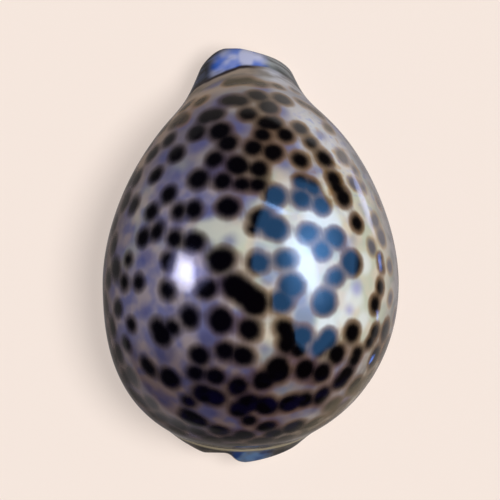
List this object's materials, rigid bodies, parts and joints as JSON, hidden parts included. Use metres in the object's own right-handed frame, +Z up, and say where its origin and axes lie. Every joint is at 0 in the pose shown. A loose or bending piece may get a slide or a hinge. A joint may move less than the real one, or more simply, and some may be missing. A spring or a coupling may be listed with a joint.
{
  "type": "cowrie shell",
  "caption": "Empty tiger cowrie shell: a glossy spotted egg-shaped dome with a toothed slit along its flat base, for decoration, display or play.",
  "frame": {"origin": "on the resting plane under the middle of the shell's box", "axes": "+X towards the outer lip, +Y towards the front canal, +Z up through the domed back"},
  "size_m": [0.0569, 0.08, 0.0428],
  "materials": {
    "shell": "glossy, spotted"
  },
  "bodies": {
    "root": {"shell": "shell"}
  },
  "joints": []
}
